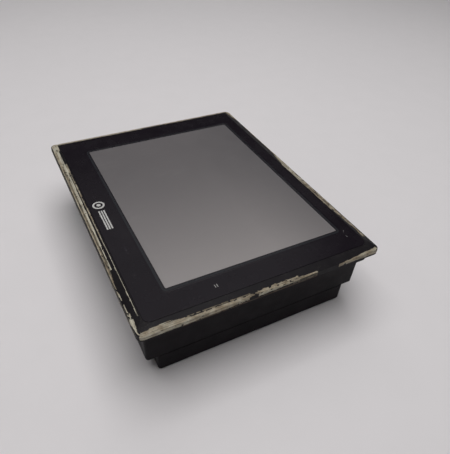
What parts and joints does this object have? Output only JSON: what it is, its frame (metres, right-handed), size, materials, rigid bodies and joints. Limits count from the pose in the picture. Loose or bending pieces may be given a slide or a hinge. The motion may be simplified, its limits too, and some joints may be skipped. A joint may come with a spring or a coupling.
{
  "type": "hmi touch panel",
  "caption": "Flush-mounting operator touch panel: bevelled front with a landscape window, stepped rear housing with sockets, clamp slots and a service door.",
  "frame": {"origin": "on the rear face of the back cover, under the middle of the front rim", "axes": "+X is the operator's right, +Y is up on the screen, +Z points out of the screen"},
  "size_m": [0.227, 0.1746, 0.057],
  "materials": {
    "bezel_plastic": "fine moulded texture, worn along the rim",
    "overlay_film": "semi-gloss printed film",
    "case_plastic": "moulded black plastic, lightly textured",
    "foam_seal": "dull closed-cell foam",
    "clear_glass": "clear",
    "clear_plastic": "clear or milky, polished",
    "display_cell": "dark polarised sheet",
    "plated_steel": "zinc plated",
    "nickel_shell": "nickel plated",
    "aluminium": "satin",
    "brass": "machined",
    "board_green": "solder mask over fibreglass",
    "chip_black": "moulded epoxy",
    "socket_ivory": "moulded nylon",
    "socket_black": "moulded nylon",
    "terminal_green": "moulded nylon",
    "ribbon_film": "polyester flat cable",
    "flex_amber": "polyimide film",
    "lead_red": "insulated lead",
    "ferrite": "sintered ferrite",
    "label_silver": "blank satin label",
    "lamp_white": "diffuse lens"
  },
  "bodies": {
    "housing": {"front_bezel": "bezel_plastic", "overlay_sheet": "overlay_film", "panel_gasket": "foam_seal", "light_pipe": "clear_plastic", "indicator_board": "board_green", "status_lamp": "lamp_white", "touch_glass": "clear_glass", "touch_foam": "foam_seal", "touch_tail": "flex_amber", "display_front_frame": "plated_steel", "display_cell": "display_cell", "optical_sheets": "clear_plastic", "light_guide": "clear_plastic", "backlight_strip": "lamp_white", "display_rear_tray": "plated_steel", "display_clips": "plated_steel", "clip_screws": "plated_steel", "display_socket": "socket_ivory", "display_ribbon": "ribbon_film", "backlight_lead": "lead_red", "rear_case": "case_plastic", "back_cover": "case_plastic", "rating_plate": "label_silver", "case_screws": "plated_steel", "cover_screws": "plated_steel", "main_board": "board_green", "board_standoffs": "brass", "board_screws": "plated_steel", "power_board": "board_green", "power_spacers": "brass", "power_screws": "plated_steel", "inductor": "ferrite", "capacitors": "aluminium", "processor": "chip_black", "heatsink": "aluminium", "memory_chips": "chip_black", "buzzer": "chip_black", "battery_holder": "socket_black", "coin_battery": "nickel_shell", "card_slot": "nickel_shell", "ribbon_sockets": "socket_ivory", "power_header": "terminal_green", "serial_port_1": "nickel_shell", "serial_port_2": "nickel_shell", "serial_inserts": "socket_black", "serial_standoffs": "nickel_shell", "network_jack": "socket_black", "usb_host_port": "nickel_shell", "usb_device_port": "socket_ivory", "key_switch": "socket_black"},
    "door": {"service_door": "case_plastic"},
    "key": {"system_key": "chip_black"},
    "plug": {"terminal_plug": "terminal_green"},
    "screw_1": {"terminal_screw_1": "plated_steel"},
    "screw_2": {"terminal_screw_2": "plated_steel"},
    "screw_3": {"terminal_screw_3": "plated_steel"}
  },
  "joints": [
    {"name": "door_hinge", "type": "hinge", "parent": "housing", "child": "door", "pos_m": [-0.1021, 0.002, 0.0194], "axis": [0, -1, 0], "range_deg": [0, 90]},
    {"name": "key_press", "type": "slide", "parent": "housing", "child": "key", "axis": [0, 1, 0], "range_m": [0, 0.0005], "stiffness_N_per_m": 400},
    {"name": "plug_pull", "type": "slide", "parent": "housing", "child": "plug", "axis": [0, -1, 0], "range_m": [0, 0.015]},
    {"name": "wire_screw_1", "type": "hinge", "parent": "plug", "child": "screw_1", "pos_m": [-0.07908, -0.0735, 0.006], "axis": [0, 0, 1], "range_deg": [0, 810]},
    {"name": "wire_screw_2", "type": "hinge", "parent": "plug", "child": "screw_2", "pos_m": [-0.074, -0.0735, 0.006], "axis": [0, 0, 1], "range_deg": [0, 810]},
    {"name": "wire_screw_3", "type": "hinge", "parent": "plug", "child": "screw_3", "pos_m": [-0.06892, -0.0735, 0.006], "axis": [0, 0, 1], "range_deg": [0, 810]}
  ]
}
